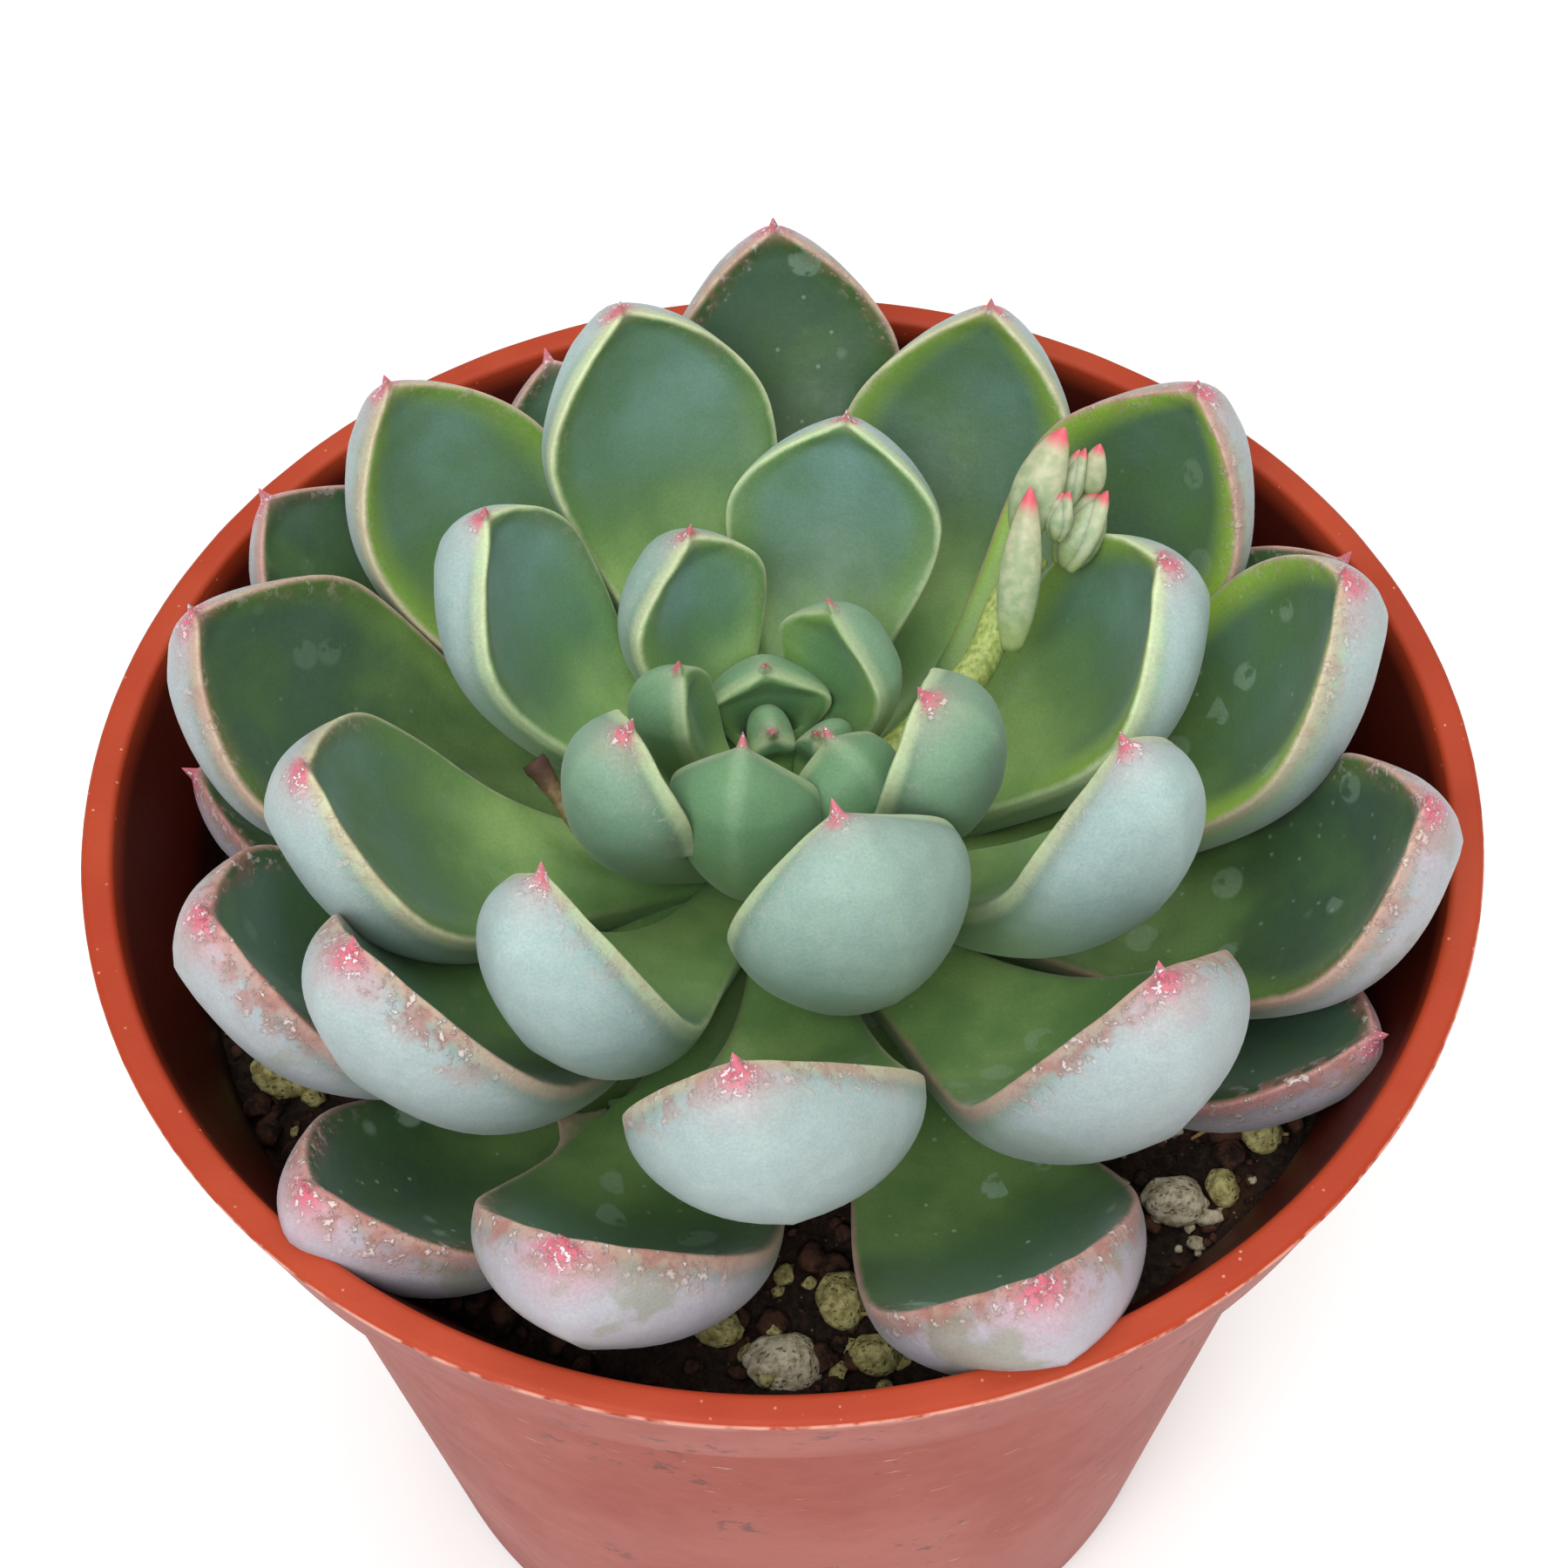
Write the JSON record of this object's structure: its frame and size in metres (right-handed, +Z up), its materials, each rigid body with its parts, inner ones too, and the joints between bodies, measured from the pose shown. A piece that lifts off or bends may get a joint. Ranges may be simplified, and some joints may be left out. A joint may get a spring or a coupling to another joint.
{
  "type": "potted succulent",
  "caption": "Rosette succulent with thick cupped leaves, a young flower stalk and a cut old one, in a round terracotta-coloured plastic pot of dark soil.",
  "frame": {"origin": "centre of the pot's flat base", "axes": "+Z up the pot's axis; the picture looks along +Y and down, with +X to its right"},
  "size_m": [0.09, 0.09, 0.0965],
  "materials": {
    "pot": "matte terracotta-coloured moulded plastic, dusty and scuffed outside",
    "soil": "moist dark peat with fibres and small crumbs",
    "pumice": "porous pale yellow-green granule",
    "stem": "fleshy yellow-green, satin",
    "core_leaves": "thick young leaf with a pale rounded edge and a pink point",
    "inner_leaves": "waxy blue-green leaf with a cream edge and a pink point",
    "middle_leaves": "waxy blue-green leaf with a yellow-green edge and a pink-red point",
    "outer_leaves": "darker green leaf with a lilac-pink edge, bloom and water marks",
    "young_stalk": "plump pale green bracts and buds with pink tips",
    "old_stalk": "dry olive-brown stalk with a dark cut end"
  },
  "bodies": {
    "root": {"pot": "pot", "soil": "soil", "stem": "stem", "pumice_1": "pumice", "pumice_2": "pumice", "pumice_3": "pumice", "pumice_4": "pumice", "pumice_5": "pumice", "pumice_6": "pumice", "pumice_7": "pumice", "pumice_8": "pumice", "flower_stalk": "young_stalk", "bract_low": "young_stalk", "bract_high": "young_stalk", "bract_side": "young_stalk", "bud_right": "young_stalk", "bud_top": "young_stalk", "bud_left": "young_stalk", "cut_stalk": "old_stalk", "core_leaf_1": "core_leaves", "core_leaf_2": "core_leaves", "core_leaf_3": "core_leaves", "core_leaf_4": "core_leaves", "core_leaf_5": "core_leaves", "core_leaf_6": "core_leaves", "core_leaf_7": "core_leaves", "inner_leaf_1": "inner_leaves", "inner_leaf_2": "inner_leaves", "inner_leaf_3": "inner_leaves", "inner_leaf_4": "inner_leaves", "inner_leaf_5": "inner_leaves", "inner_leaf_6": "inner_leaves", "inner_leaf_7": "inner_leaves", "inner_leaf_8": "inner_leaves", "middle_leaf_1": "middle_leaves", "middle_leaf_2": "middle_leaves", "middle_leaf_3": "middle_leaves", "middle_leaf_4": "middle_leaves", "middle_leaf_5": "middle_leaves", "middle_leaf_6": "middle_leaves", "middle_leaf_7": "middle_leaves", "outer_leaf_1": "outer_leaves", "outer_leaf_2": "outer_leaves", "outer_leaf_3": "outer_leaves", "outer_leaf_4": "outer_leaves", "outer_leaf_5": "outer_leaves", "outer_leaf_6": "outer_leaves", "outer_leaf_7": "outer_leaves", "outer_leaf_8": "outer_leaves", "outer_leaf_9": "outer_leaves", "outer_leaf_10": "outer_leaves", "outer_leaf_11": "outer_leaves", "outer_leaf_12": "outer_leaves", "outer_leaf_13": "outer_leaves", "outer_leaf_14": "outer_leaves", "outer_leaf_15": "outer_leaves"}
  },
  "joints": []
}
